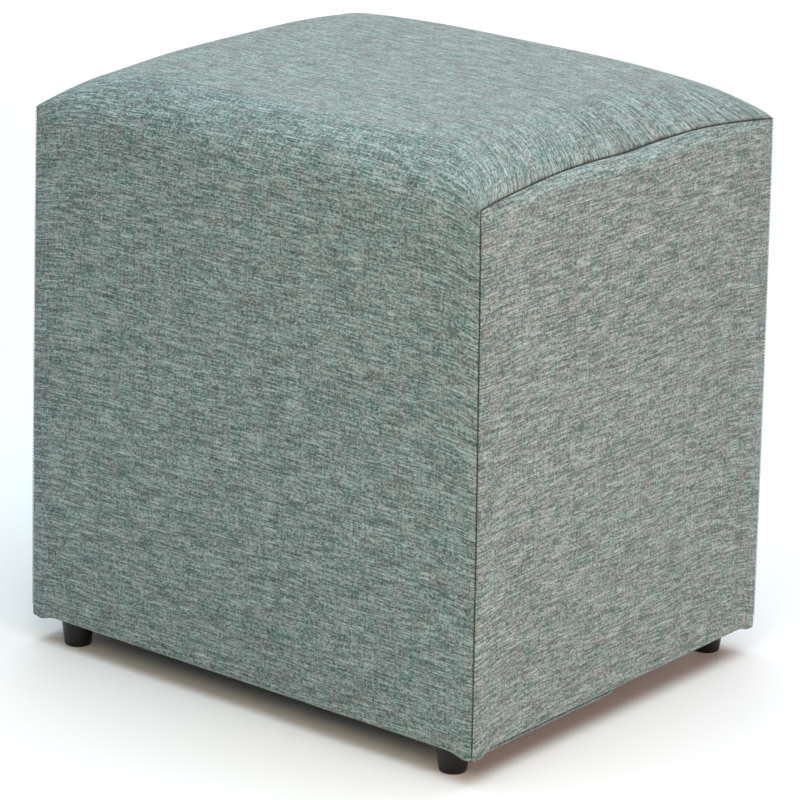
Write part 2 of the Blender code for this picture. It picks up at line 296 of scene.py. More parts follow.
def wrap_surface(distance):
    """Points (distance, ring, xyz) of the wrap's right half at distances in from the seam.

    Ring = seam + rise * (middle - seam), where rise = 1 - (1 - distance / fall) cubed, less the
    corner droop, then set in along the ring's normal by the seam's sink.
    """
    distance = np.asarray(distance)[:, None]
    rise = 1.0 - np.clip(1.0 - distance / FALL_LENGTH, 0.0, 1.0) ** 3
    y = seam_ring[:, 0] + rise * (middle_ring - seam_ring)[:, 0]
    lift = rise * (middle_ring - seam_ring)[:, 1]
    summed = distance + HALF_DEPTH - np.abs(y)
    droop = DROOP / (1.0 + np.exp((summed - DROOP_MIDDLE) / DROOP_LENGTH))
    z = seam_ring[:, 1] + lift * (1.0 - droop)
    ring = np.stack([y, z], axis=-1)
    along = np.roll(ring, -1, axis=1) - np.roll(ring, 1, axis=1)
    outward = unit(np.stack([-along[..., 1], along[..., 0]], axis=-1))
    ring = ring - sink(distance)[..., None] * outward
    x = seam_x(seam_ring) * (1.0 - distance / HALF_WIDTH)
    return np.concatenate([x[..., None], ring], axis=-1)


LIP = 0.0018              # the cloth starts to turn into a seam this far from it
near = np.array([0.0, 0.4, 0.8, 1.3, 1.8, 2.4, 3.2, 4.2, 5.4, 6.8, 8.4, 10.2, 12.4, 15.0, 18.0,
                 21.2]) / 1000
hem_stations = HEM + np.array([-0.0020, -0.0014, -0.0010, -0.0006, 0.0004])
stations = np.concatenate([near, np.linspace(0.0245, HEM - 0.003, 3), hem_stations,
                           np.linspace(HEM + 0.003, HALF_WIDTH, 42)])
right_half = wrap_surface(stations)
print("stations:", len(stations), " crown at", round(1000 * right_half[..., 2].max(), 1), "mm")

# %% [markdown]
# ## How a seam looks from close up
# Two cloths are laid face to face, stitched and folded back. Each one rolls over into a narrow
# groove, and the thread shows as short dark stitches down in it. The groove runs diagonally into
# the corner, so that both cloths bend by the same amount. Over the top it leans almost straight
# down. The bottom edge is turned under with a soft radius, and a little cloth is left over at a
# corner, where it hangs as a small gather.

# %% Rules for grooves, soft bottom edges and gathers
TOP_GROOVE = 0.0011       # depth of the groove over the seat
SIDE_GROOVE = 0.0005      # and down the corners, where the cloth is stretched flat
GROOVE_HALF = 0.00025     # half of its width at the bottom
TURNED = 1.0 - math.sqrt(0.5)


def groove_direction(ring):
    """Unit direction into the seam, by ring point: diagonal at corners, steep under the top seam."""
    y, z = ring[:, 0], ring[:, 1]
    points = np.arange(len(ring))
    over_top = ((points >= UP - 1) & (points < UP + OVER - 1)).astype(float)
    under = np.clip((BOTTOM + EDGE_RADIUS - z) / EDGE_RADIUS, 0.0, 1.0)
    leave = smooth_step((HALF_DEPTH - np.abs(y)) / SEAM_SOFTNESS)
    return unit(np.column_stack([over_top * 0.65 * leave - 1.0, -np.sign(y) * (1.0 - leave),
                                 under - over_top * (0.6 + 0.34 * leave)]))


def soft_bottom(distance):
    """Shift towards the piece's middle, and lift, at a distance from the turned bottom edge."""
    left_over = np.clip(1.0 - distance / EDGE_RADIUS, 0.0, 1.0)
    inset = EDGE_RADIUS * TURNED + distance * (1.0 - TURNED)
    return EDGE_RADIUS * TURNED * left_over, edge_lift(inset)


def gather(from_corner, above, size):
    """How far the spare cloth hangs at a corner: a bump 6 mm from it, fading over 14 mm of height."""
    bump = np.exp(-((from_corner - 0.006) / 0.0085) ** 2)
    return size * bump * np.exp(-above / 0.014)


def lip_weight(distance):
    """1 at the seam falling to 0 where the lip ends: the square of what is left."""
    return np.clip(1.0 - distance / LIP, 0.0, 1.0) ** 2


seam_line = wrap_surface([0.0])[0]
groove = groove_direction(seam_ring)
groove_depth = np.full((AROUND, 1), SIDE_GROOVE)
groove_depth[UP - 1:UP + OVER - 1] += (TOP_GROOVE - SIDE_GROOVE) * smooth_step(
    (HALF_DEPTH - np.abs(seam_ring[UP - 1:UP + OVER - 1, :1])) / SEAM_SOFTNESS)
seam_along = unit(np.roll(seam_line, -1, axis=0) - np.roll(seam_line, 1, axis=0))
seam_across = unit(np.cross(seam_along, groove))
seam_across *= np.sign(seam_across[:, :1] + 1e-9)     # towards the side panel
print("groove at mid height:", np.round(groove[UP // 2], 2))
print("groove over the top:", np.round(groove[UP + OVER // 2], 2))

# %% [markdown]
# ## The wrap
# All of the wrap's rings now become one closed mesh. Its ends are closed by a few rings that
# shrink to a point behind the side panels. A slow, low unevenness is added in the foam's crown,
# because stuffing is never even. It is a sum of a few waves with fixed phases, so it is the same
# every time.

# %% Build the wrap
def unevenness(first, second):
    """Slow swell and dip over the cloth, from -1 to 1: the mean of five sine waves."""
    waves = ((17.0, 11.0, 0.3), (-9.0, 23.0, 1.7), (31.0, -13.0, 4.1), (24.0, 29.0, 2.6), (-41.0, 8.0, 5.2))
    return sum(np.sin(a * first + b * second + phase) for a, b, phase in waves) / len(waves)


def wrap_rows(surface, distances):
    """The right half with its lips, soft edges, gathers and swell: offsets from the plain surface."""
    rows = surface.copy()
    distance = distances[:, None]
    along = np.roll(surface, -1, axis=1) - np.roll(surface, 1, axis=1)
    outward = unit(np.stack([0.0 * along[..., 0], -along[..., 2], along[..., 1]], axis=-1))
    away = smooth_step((distance - 0.012) / 0.05)
    swell = 0.0009 * away * unevenness(surface[..., 0], surface[..., 1] + 1.3 * surface[..., 2])
    under = np.arange(AROUND) > LAST_FRONT_BACK
    rows += np.where(under, 0.0, swell)[..., None] * outward
    reach = smooth_step((HALF_DEPTH - np.abs(seam_ring[:, 0])) / (1.5 * EDGE_RADIUS)) * under
    shift, lift = soft_bottom(distance)
    rows[..., 0] -= reach * shift
    rows[..., 2] += reach * lift
    above = surface[..., 2] - BOTTOM
    rows[..., 2] -= gather(distance, above, 0.0036) * (surface[..., 1] < 0.0)
    weight = lip_weight(distance)[..., None]
    return rows + weight * (groove_depth * groove - GROOVE_HALF * seam_across)


recessed = ((np.abs(right_half[..., 0]) < HALF_WIDTH - HEM - 0.0003)
            & (np.abs(right_half[..., 1]) < HALF_DEPTH - HEM - 0.0003)
            & (np.arange(AROUND) > LAST_FRONT_BACK))
right_rows = wrap_rows(right_half, stations)
right_rows[..., 2] += recessed * (board_high[2] + CLEAR - BOTTOM)
end_ring = right_rows[0] + (CLOTH - groove_depth) * groove
end_middle = np.array([HALF_WIDTH - 0.009, 0.0, 0.5 * (BOTTOM + TIP_Z)])
end_rows = np.stack([end_middle + part * (end_ring - end_middle) for part in (0.004, 0.5, 0.97, 1.0)])
right_side = np.concatenate([end_rows, right_rows])
all_rows = np.concatenate([right_side * (-1.0, 1.0, 1.0), right_side[-2::-1]])
row_count = len(all_rows)
middle_lengths = np.append(0.0, np.cumsum(np.linalg.norm(
    np.diff(np.vstack([middle_ring, middle_ring[:1]]), axis=0), axis=1)))
half_reach = np.concatenate([np.full(len(end_rows), HALF_WIDTH), HALF_WIDTH - stations])
row_u = np.concatenate([-half_reach, half_reach[-2::-1]])
row_distance = HALF_WIDTH - np.abs(row_u)

quads, flat_quads = grid_quads(row_count, AROUND, closed=True)
column = np.arange(AROUND)
following = (column + 1) % AROUND
last = (row_count - 1) * AROUND
left_fan = np.column_stack([following, column, np.full(AROUND, row_count * AROUND)])
right_fan = np.column_stack([last + column, last + following, np.full(AROUND, row_count * AROUND + 1)])
wrap_points = np.vstack([all_rows.reshape(-1, 3), end_middle * (-1.0, 1.0, 1.0), end_middle])


def wrap_map(across, along):
    """Corner values of a map over the wrap's quads and its two hidden fans."""
    across, along = np.broadcast_arrays(across[:, None], along[None, :])
    pairs = np.stack([across, along], axis=-1).reshape(-1, 2)
    return [pairs[flat_quads], np.zeros((AROUND, 3, 2)), np.zeros((AROUND, 3, 2))]


wrap = make_piece("wrap_cloth", wrap_points, [quads, left_fan, right_fan],
                  {"weave": wrap_map(row_u, middle_lengths),
                   "seam": [pairs[..., ::-1] for pairs in wrap_map(row_distance, middle_lengths)]})
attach(wrap, BODY)
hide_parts("wrap_panel")

# %% [markdown]
# ## The side panels
# A side panel is a flat piece stretched over the end of the block. Its top edge turns over a crisp
# ridge and runs a few millimetres inwards to the top seam. It is a grid whose border is the seam's
# ring. Each upright line of the grid follows three points, one on the face, one on the ridge and
# one on the seam, with the turn between them rounded by a parabola.

# %% The panel's outer surface
RIDGE_SHARE = 0.56        # part of the tip zone's lines below the ridge
TURN_SHARE = 0.055        # half of the stretch over which the ridge turns
BAND_BOW = 0.0010         # the band on top stands proud by this much


def panel_surface():
    """Grid (height, depth, xyz) between the seam's sides: a straight blend, bowed, then the ridge."""
    front = seam_line[:UP]
    top = seam_line[UP - 1:UP + OVER - 1]
    back = seam_line[UP + OVER - 2:2 * UP + OVER - 2][::-1]
    bottom = np.vstack([seam_line[2 * UP + OVER - 3:], seam_line[:1]])[::-1]
    across = (top[:, 1] - top[0, 1]) / (top[-1, 1] - top[0, 1])
    arch = seam_arch(across)[None, :]
    grid = front[:, None] + across[None, :, None] * (back - front)[:, None]
    height = (grid[..., 2] - BOTTOM) / (TIP_Z - BOTTOM)
    from_seam = np.minimum(across, 1.0 - across) * 2 * HALF_DEPTH
    grid[..., 0] += RIDGE_OUT * arch * height ** 2 + SEAM_SINK - sink(from_seam)
    base = UP - 1 - TIP_STEPS
    share = tip_share[:, None]
    ramp = np.where(share > RIDGE_SHARE + TURN_SHARE, share - RIDGE_SHARE,
                    np.clip(share - RIDGE_SHARE + TURN_SHARE, 0.0, None) ** 2 / (4 * TURN_SHARE))
    start = grid[base][None]
    straight = start + RIDGE_SHARE * (top[None] - start)
    ridge = straight.copy()
    ridge[..., 0] += arch * (HALF_WIDTH + FLARE - TIP_INSET + RIDGE_OUT - straight[..., 0])
    ridge[..., 2] += arch * (TIP_Z - RIDGE_DROP - straight[..., 2])
    bow = BAND_BOW * arch * np.sin(np.pi * np.clip(ramp / (1.0 - RIDGE_SHARE), 0.0, 1.0))
    zone = (start + (ridge - start) / RIDGE_SHARE * (share - ramp)[..., None]
            + (top[None] - ridge) / (1.0 - RIDGE_SHARE) * ramp[..., None])
    zone[..., 0] += 0.6 * bow
    zone[..., 2] += 0.8 * bow
    grid[base + 1:] = zone
    grid[0], grid[-1], grid[:, 0], grid[:, -1] = bottom, top, front, back
    return grid


def grid_normals(grid):
    """Unit normals of a grid, from its central differences, turned to face +X."""
    normals = unit(np.cross(np.gradient(grid, axis=0), np.gradient(grid, axis=1)))
    return normals * np.sign(normals[UP // 2, OVER // 2, 0])


def border(grid):
    """A grid's border in the order of the seam's ring: front, top, back, bottom."""
    return np.concatenate([grid[:, 0], grid[-1, 1:], grid[-2::-1, -1], grid[0, -2:0:-1]])


def spread_border(ring_values):
    """Four grids that carry a ring's values straight in from the front, back, top and bottom."""
    front = ring_values[:UP][:, None]
    top = ring_values[UP - 1:UP + OVER - 1][None]
    back = ring_values[UP + OVER - 2:2 * UP + OVER - 2][::-1][:, None]
    bottom = np.concatenate([ring_values[2 * UP + OVER - 3:], ring_values[:1]])[::-1][None]
    shape = (UP, OVER) + ring_values.shape[1:]
    return [np.broadcast_to(values, shape) for values in (front, back, top, bottom)]


plain_panel = panel_surface()
step_across = np.linalg.norm(np.diff(plain_panel, axis=1), axis=2)
step_up = np.linalg.norm(np.diff(plain_panel, axis=0), axis=2)
zero_column, zero_row = np.zeros((UP, 1)), np.zeros((1, OVER))
from_front = np.hstack([zero_column, np.cumsum(step_across, axis=1)])
from_back = from_front[:, -1:] - from_front
from_bottom = np.vstack([zero_row, np.cumsum(step_up, axis=0)])
from_top = from_bottom[-1:] - from_bottom
edge_distances = np.stack([from_front, from_back, from_top, from_bottom])
print("panel's longest upright line, mm:", round(1000 * from_bottom[-1].max(), 1))

# %% Lips, soft bottom edge and corner gathers of the panel
fields = np.stack(spread_border(groove_depth * groove + GROOVE_HALF * seam_across))
weights = lip_weight(edge_distances)
total = weights.sum(axis=0)
blended = (weights[..., None] * fields).sum(axis=0) / np.maximum(total, 1e-9)[..., None]
panel = plain_panel + weights.max(axis=0)[..., None] * blended
shift, lift = soft_bottom(from_bottom)
reach = smooth_step(np.minimum(from_front, from_back) / (1.5 * EDGE_RADIUS))
panel[..., 2] += reach * shift
panel[..., 0] -= reach * lift
inside = smooth_step((np.min(edge_distances, axis=0) - 0.012) / 0.05)
panel[..., 0] += 0.0008 * inside * unevenness(plain_panel[..., 1] + 0.4, plain_panel[..., 2])
panel[..., 2] -= gather(from_front, from_bottom, 0.0060) + gather(from_back, from_bottom, 0.0040)
inner_panel = panel - CLOTH * grid_normals(plain_panel)
inner_border = border(panel) + (CLOTH - 0.2 * groove_depth) * groove
inner_panel[:, 0] = inner_border[:UP]
inner_panel[-1] = inner_border[UP - 1:UP + OVER - 1]
inner_panel[::-1, -1] = inner_border[UP + OVER - 2:2 * UP + OVER - 2]
inner_panel[0] = np.vstack([inner_border[2 * UP + OVER - 3:], inner_border[:1]])[::-1]

# %% [markdown]
# The weft of a side panel should run level, but the cloth was pulled down as it was sewn to the
# wrap, so its lines bend down towards the front and back seams, more near the bottom. The maps
# give the cloth's own coordinates in metres, so that the weave keeps its scale, and the distance
# to the nearest seam, which the puckers follow.

# %% The panel's maps, and both panels
low_share = 1.0 - (plain_panel[..., 2] - BOTTOM) / (TIP_Z - BOTTOM)
bend = (0.004 + 0.008 * low_share ** 2) * (np.exp(-from_front / 0.030) + np.exp(-from_back / 0.030))
weave_map = np.stack([from_front - HALF_DEPTH, from_bottom + bend], axis=-1)
nearest = np.argmin(edge_distances[:3], axis=0)
run = np.where(nearest == 2, weave_map[..., 0], from_bottom)
seam_map = np.stack([run, np.min(edge_distances[:3], axis=0)], axis=-1)
outer_quads = grid_quads(UP, OVER)[0]
inner_quads = outer_quads[:, ::-1] + UP * OVER
ring_order = border(np.arange(UP * OVER).reshape(UP, OVER))
next_order = np.roll(ring_order, -1)
rim_quads = np.column_stack([ring_order, next_order, next_order + UP * OVER, ring_order + UP * OVER])
panel_faces = [outer_quads, inner_quads, rim_quads]


def panel_map(values):
    """Corner values of a map over the outer, inner and rim faces: the inside repeats the outside."""
    flat = values.reshape(-1, 2)
    return [flat[faces % (UP * OVER)] for faces in panel_faces]


panels = []
for side, mirror in (("left", -1.0), ("right", 1.0)):
    points = np.vstack([panel.reshape(-1, 3), inner_panel.reshape(-1, 3)]) * (mirror, 1.0, 1.0)
    piece = make_piece(f"side_cloth_{side}", points, panel_faces,
                       {"weave": panel_map(weave_map + (0.0, 0.31 * mirror)), "seam": panel_map(seam_map)})
    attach(piece, BODY)
    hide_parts(f"side_panel_{side}")
    panels.append(piece)

# %% [markdown]
# ## Stitches
# The thread that holds the seams shows as a row of short dark stitches down in the groove. Each
# one is a tiny arched tube that crosses from one cloth to the other. All the stitches of one side
# are a single mesh, because they are one thread.

# %% Seam thread
STITCH_PITCH = 0.0024
STITCH_LENGTH = 0.0017
THREAD = 0.00030          # radius
STITCH_SIDES = 6
STITCH_RINGS = 5


def stitches(name, mirror):
    """Arched tubes along the seam: centre + across * s + out * (1 - s squared), s from -1 to 1."""
    line = (seam_line + 0.45 * groove_depth * groove)[:2 * UP + OVER - 2]
    lengths = np.append(0.0, np.cumsum(np.linalg.norm(np.diff(line, axis=0), axis=1)))
    places = np.arange(0.006, lengths[-1] - 0.006, STITCH_PITCH)

    def along_seam(values):
        return np.column_stack([np.interp(places, lengths, values[:len(line), axis]) for axis in range(3)])
    centre, out = along_seam(line), -unit(along_seam(groove))
    across, along = unit(along_seam(seam_across)), unit(along_seam(seam_along))
    across = unit(across + 0.35 * along)
    s = np.linspace(-1.0, 1.0, STITCH_RINGS)[None, :, None, None]
    turn = np.linspace(0.0, 2 * np.pi, STITCH_SIDES, endpoint=False)[None, None, :, None]
    radius = THREAD * np.sqrt(np.clip(1.15 - s * s, 0.0, 1.0))

    def spread(values):
        return values[:, None, None, :]
    side = unit(np.cross(across, out))
    points = (spread(centre) + spread(across) * s * STITCH_LENGTH / 2 + spread(out) * 0.0003 * (1.0 - s * s)
              + radius * (np.cos(turn) * spread(out) + np.sin(turn) * spread(side)))
    per_stitch = STITCH_RINGS * STITCH_SIDES
    offsets = (np.arange(len(places)) * per_stitch)[:, None, None]
    tube = grid_quads(STITCH_RINGS, STITCH_SIDES, closed=True)[0][None] + offsets
    first = np.arange(STITCH_SIDES)[::-1][None, None] + offsets
    end = np.arange(STITCH_SIDES)[None, None] + (STITCH_RINGS - 1) * STITCH_SIDES + offsets
    faces = [tube.reshape(-1, 4), first.reshape(-1, STITCH_SIDES), end.reshape(-1, STITCH_SIDES)]
    piece = make_piece(name, points.reshape(-1, 3) * (mirror, 1.0, 1.0), faces, {})
    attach(piece, BODY)
    return piece


threads = [stitches("seam_thread_left", -1.0), stitches("seam_thread_right", 1.0)]

# %% [markdown]
# ## The cloth
# The cover is a slubby plain weave, like linen: thick and thin yarns of teal, pale aqua, charcoal
# and a little warm grey cross over and under. Pale slubs are thick places in a weft yarn, and dark
# dashes are thin ones. Both run along the weft, so the pattern has to follow the cloth. The
# material therefore reads the map that holds the cloth's own coordinates in metres, and every
# scale below is a real one. The weave is one node group that puts out a colour and a height.

# %% Small helpers for node trees
def node(tree, kind, settings=None, **inputs):
    """A node with some of its settings and inputs set; an input may be a value or a socket."""
    made = tree.nodes.new(kind)
    for name, value in (settings or {}).items():
        setattr(made, name, value)
    for name, value in inputs.items():
        key = int(name[1:]) if name[0] == "_" else name.replace("_", " ")
        if isinstance(value, bpy.types.NodeSocket):
            tree.links.new(value, made.inputs[key])
        else:
            made.inputs[key].default_value = value
    return made


def maths(tree, operation, first, second=0.0, third=0.0):
    return node(tree, "ShaderNodeMath", {"operation": operation}, _0=first, _1=second, _2=third).outputs[0]


def noise(tree, across, along, seed, detail=1.0):
    """Smooth noise from 0 to 1 on a plane given by two sockets."""
    place = node(tree, "ShaderNodeCombineXYZ", X=across, Y=along, Z=seed)
    made = node(tree, "ShaderNodeTexNoise", {"noise_dimensions": "3D"}, Vector=place.outputs[0],
                Scale=1.0, Detail=detail, Roughness=0.5)
    return made.outputs["Fac"]


def ramp(tree, value, low, high):
    """0 below low, 1 above high, straight between."""
    return node(tree, "ShaderNodeMapRange", {"clamp": True}, Value=value, From_Min=low,
                From_Max=high).outputs["Result"]


def mixed(tree, factor, first, second):
    made = node(tree, "ShaderNodeMix", {"data_type": "RGBA"})
    for key, value in ((0, factor), (6, first), (7, second)):
        if isinstance(value, bpy.types.NodeSocket):
            tree.links.new(value, made.inputs[key])
        else:
            made.inputs[key].default_value = value if key == 0 else (*value, 1.0)
    return made.outputs[2]


def new_group(name, inputs, outputs):
    """An empty node group with its sockets, and its two end nodes."""
    group = bpy.data.node_groups.new(name, "ShaderNodeTree")
    for socket, kind in inputs:
        group.interface.new_socket(socket, in_out="INPUT", socket_type=kind)
    for socket, kind in outputs:
        group.interface.new_socket(socket, in_out="OUTPUT", socket_type=kind)
    return group, group.nodes.new("NodeGroupInput"), group.nodes.new("NodeGroupOutput")


# %% The slub weave as a node group
YARN_PITCH = 0.0009
WEFT_DRIFT = 0.0030       # a weft yarn wanders off its straight line by up to this much
YARN_APART = 3.71         # steps far enough apart in the noise that two yarns have nothing in common
TEAL = (0.117, 0.200, 0.188)
ROSE_GREY = (0.202, 0.219, 0.214)
PALE = (0.400, 0.512, 0.508)
CHARCOAL = (0.022, 0.040, 0.039)


def build_weave():
    """Yarn numbers from floor(map / pitch); each yarn carries its own stretched noise."""
    group, given, result = new_group("slub_weave", [("Map", "NodeSocketVector")],
                                     [("Colour", "NodeSocketColor"), ("Height", "NodeSocketFloat")])
    map_axes = node(group, "ShaderNodeSeparateXYZ", Vector=given.outputs["Map"])
    u, v = map_axes.outputs[0], map_axes.outputs[1]
    drift = noise(group, maths(group, "MULTIPLY", u, 7.0), maths(group, "MULTIPLY", v, 11.0), 3.0)
    v = maths(group, "MULTIPLY_ADD", drift, WEFT_DRIFT, v)
    weft_place = maths(group, "DIVIDE", v, YARN_PITCH)
    warp_place = maths(group, "DIVIDE", u, YARN_PITCH)
    weft, warp = maths(group, "FLOOR", weft_place), maths(group, "FLOOR", warp_place)
    weft_over = maths(group, "PINGPONG", maths(group, "ADD", weft, warp), 1.0)

    weft_lane = maths(group, "MULTIPLY", weft, YARN_APART)
    warp_lane = maths(group, "MULTIPLY", warp, YARN_APART)

    def per_weft(length, seed):
        return noise(group, maths(group, "DIVIDE", u, length), weft_lane, seed, 0.0)

    def per_warp(length, seed):
        return noise(group, warp_lane, maths(group, "DIVIDE", v, length), seed, 0.0)

    def patches(size, seed):
        return noise(group, maths(group, "DIVIDE", u, size), maths(group, "DIVIDE", v, size), seed, 1.0)
    def two_scales(long, short):
        return maths(group, "MULTIPLY_ADD", long, 0.5, maths(group, "MULTIPLY", short, 0.5))
    streak = ramp(group, two_scales(per_weft(0.0170, 11.0), per_weft(0.0022, 17.0)), 0.28, 0.72)
    fleck = ramp(group, two_scales(per_warp(0.0140, 61.0), per_warp(0.0020, 67.0)), 0.26, 0.74)
    slub = ramp(group, per_weft(0.0150, 23.0), 0.71, 0.78)
    dash = ramp(group, per_weft(0.0032, 37.0), 0.33, 0.25)
    hue = maths(group, "MULTIPLY_ADD", patches(0.013, 51.0), 0.62,
                maths(group, "MULTIPLY", per_weft(0.0065, 83.0), 0.38))
    middle_tone = mixed(group, ramp(group, hue, 0.36, 0.64), TEAL, ROSE_GREY)
    weft_colour = mixed(group, ramp(group, streak, 0.0, 0.55), CHARCOAL,
                        mixed(group, ramp(group, streak, 0.42, 1.0), middle_tone, PALE))
    weft_colour = mixed(group, maths(group, "MULTIPLY", dash, 0.75), weft_colour, CHARCOAL)
    weft_colour = mixed(group, maths(group, "MULTIPLY", slub, 0.75), weft_colour, PALE)
    warp_colour = mixed(group, ramp(group, fleck, 0.0, 0.55), CHARCOAL,
                        mixed(group, ramp(group, fleck, 0.45, 1.0), middle_tone, PALE))
    over = maths(group, "MULTIPLY_ADD", weft_over, 0.36, 0.54)
    over = maths(group, "MAXIMUM", over, maths(group, "MULTIPLY", slub, 0.90))
    colour = mixed(group, over, warp_colour, weft_colour)
    weft_round = maths(group, "SINE", maths(group, "MULTIPLY", maths(group, "FRACT", weft_place), math.pi))
    warp_round = maths(group, "SINE", maths(group, "MULTIPLY", maths(group, "FRACT", warp_place), math.pi))
    weft_extra = maths(group, "SUBTRACT", weft_round, warp_round)
    ribs = maths(group, "MULTIPLY_ADD", weft_over, weft_extra, warp_round)
    height = maths(group, "MULTIPLY_ADD", slub, 0.9, ribs)
    height = maths(group, "MULTIPLY_ADD", streak, 0.5, height)
    group.links.new(colour, result.inputs["Colour"])
    group.links.new(height, result.inputs["Height"])
    return group


weave = build_weave()
print("weave nodes:", len(weave.nodes))

# %% [markdown]
# Near a seam the cloth is gathered a little between the stitches, and the cloth folded inside
# shows as a faint ridge beside the seam. Both are far smaller than the mesh, so they are a height
# for the bump. The second map holds the run along the seam and the distance from it. The colour is
# also darkened down in the groove, within a millimetre of the seam: this is painted shade.

# %% The seam's puckers, and the painted shade in its groove, as a node group
def build_pucker_and_painted_shade():
    """Waves along the run, fading with distance, plus a ridge where the folded edge ends; Shade is painted
    shade.
    """
    group, given, result = new_group("seam_pucker_and_painted_shade", [("Map", "NodeSocketVector")],
                                     [("Height", "NodeSocketFloat"), ("Shade", "NodeSocketFloat")])
    axes = node(group, "ShaderNodeSeparateXYZ", Vector=given.outputs["Map"])
    run, distance = axes.outputs[0], axes.outputs[1]
    wobble = noise(group, maths(group, "MULTIPLY", run, 170.0),
                   maths(group, "MULTIPLY", distance, 45.0), 5.0, 2.0)
    fade = maths(group, "EXPONENT", maths(group, "MULTIPLY", distance, -110.0))
    pucker = maths(group, "MULTIPLY", maths(group, "SUBTRACT", wobble, 0.5), fade)
    off_ridge = maths(group, "DIVIDE", maths(group, "SUBTRACT", distance, 0.0075), 0.0009)
    ridge = maths(group, "EXPONENT", maths(group, "MULTIPLY", maths(group, "POWER", off_ridge, 2.0), -1.0))
    showing = ramp(group, noise(group, maths(group, "MULTIPLY", run, 13.0), 0.0, 9.0), 0.42, 0.62)
    height = maths(group, "MULTIPLY_ADD", maths(group, "MULTIPLY", ridge, showing), 0.34, pucker)
    # Painted shade: 0 at the seam, rising to 1 a millimetre away, to darken the groove's colour.
    shade = ramp(group, distance, 0.0, 0.0010)
    group.links.new(height, result.inputs["Height"])
    group.links.new(shade, result.inputs["Shade"])
    return group


pucker = build_pucker_and_painted_shade()
print("pucker nodes:", len(pucker.nodes))


# %% The cloth material
def principled(name, roughness, specular, **uniform):
    """A new material and its Principled BSDF, with the values that don't change over it."""
    material = bpy.data.materials.new(name)
    material.use_nodes = True
    shader = material.node_tree.nodes["Principled BSDF"]
    shader.inputs["Roughness"].default_value = roughness
    shader.inputs["Specular IOR Level"].default_value = specular
    for key, value in uniform.items():
        shader.inputs[key.replace("_", " ")].default_value = value
    return material, shader


def cloth_material():
    material, shader = principled("slub_cloth", 0.92, 0.18, Sheen_Weight=0.30, Sheen_Roughness=0.45)
    tree = material.node_tree
    cloth_map = node(tree, "ShaderNodeUVMap", {"uv_map": "weave"}).outputs[0]
    edge_map = node(tree, "ShaderNodeUVMap", {"uv_map": "seam"}).outputs[0]
    woven = node(tree, "ShaderNodeGroup", {"node_tree": weave}, Map=cloth_map)
    seam = node(tree, "ShaderNodeGroup", {"node_tree": pucker}, Map=edge_map)
    # Painted shade: the cloth's colour is multiplied down to about 0.55 in the seam's groove.
    shade = mixed(tree, seam.outputs["Shade"], (0.55, 0.57, 0.57), (1.0, 1.0, 1.0))
    colour = node(tree, "ShaderNodeMix", {"data_type": "RGBA", "blend_type": "MULTIPLY"})
    colour.inputs[0].default_value = 1.0
    tree.links.new(woven.outputs["Colour"], colour.inputs[6])
    tree.links.new(shade, colour.inputs[7])
    tree.links.new(colour.outputs[2], shader.inputs["Base Color"])
    puckers = node(tree, "ShaderNodeBump", Strength=1.0, Distance=0.0009, Height=seam.outputs["Height"])
    ribs = node(tree, "ShaderNodeBump", Strength=0.30, Distance=0.00012, Height=woven.outputs["Height"],
                Normal=puckers.outputs[0])
    tree.links.new(ribs.outputs[0], shader.inputs["Normal"])
    return material


cloth = cloth_material()
for piece in [wrap, *panels]:
    piece.data.materials.append(cloth)
print("cloth on", [piece.name for piece in [wrap, *panels]])

# %% [markdown]
# ## Thread, feet and base board
# The thread is a dark twisted polyester. The feet are injection-moulded black plastic with a fine
# satin grain and a little dust and scuffing low down. Their turned shape in the frame is already
# the true one, so they only get this finish. The base board is thin board with a black dust cover
# of felted fibre.

# %% Their materials
def object_noise(tree, scale, detail=2.0, stretch=(1.0, 1.0, 1.0)):
    """Noise on Object coordinates, whose scale is in cells to the metre."""
    place = node(tree, "ShaderNodeTexCoord").outputs["Object"]
    placed = node(tree, "ShaderNodeMapping", Vector=place, Scale=stretch).outputs[0]
    return node(tree, "ShaderNodeTexNoise", Vector=placed, Scale=scale, Detail=detail).outputs["Fac"]


def thread_material():
    material, shader = principled("dark_thread", 0.7, 0.3)
    tree = material.node_tree
    twist = object_noise(tree, 1500.0)
    colour = mixed(tree, twist, (0.020, 0.030, 0.031), (0.050, 0.068, 0.068))
    tree.links.new(colour, shader.inputs["Base Color"])
    return material


def foot_material():
    material, shader = principled("black_plastic", 0.4, 0.35)
    tree = material.node_tree
    grain = object_noise(tree, 2600.0, 3.0)
    dust = ramp(tree, object_noise(tree, 240.0, 4.0), 0.52, 0.78)
    place = node(tree, "ShaderNodeTexCoord").outputs["Object"]
    height = node(tree, "ShaderNodeSeparateXYZ", Vector=place).outputs[2]
    low = ramp(tree, height, 0.009, 0.001)
    worn = maths(tree, "MULTIPLY", dust, maths(tree, "MULTIPLY_ADD", low, 0.6, 0.2))
    colour = mixed(tree, worn, (0.0035, 0.0035, 0.0038), (0.022, 0.022, 0.021))
    tree.links.new(colour, shader.inputs["Base Color"])
    tree.links.new(maths(tree, "MULTIPLY_ADD", worn, 0.3, 0.36), shader.inputs["Roughness"])
    bump = node(tree, "ShaderNodeBump", Strength=0.25, Distance=0.0001, Height=grain)
    tree.links.new(bump.outputs[0], shader.inputs["Normal"])
    return material


def board_material():
    material, shader = principled("dust_cover", 0.95, 0.1)
    tree = material.node_tree
    fibre = object_noise(tree, 900.0, 4.0, (1.0, 0.35, 1.0))
    colour = mixed(tree, fibre, (0.012, 0.012, 0.013), (0.040, 0.040, 0.042))
    tree.links.new(colour, shader.inputs["Base Color"])
    bump = node(tree, "ShaderNodeBump", Strength=0.6, Distance=0.0003, Height=fibre)
    tree.links.new(bump.outputs[0], shader.inputs["Normal"])
    return material


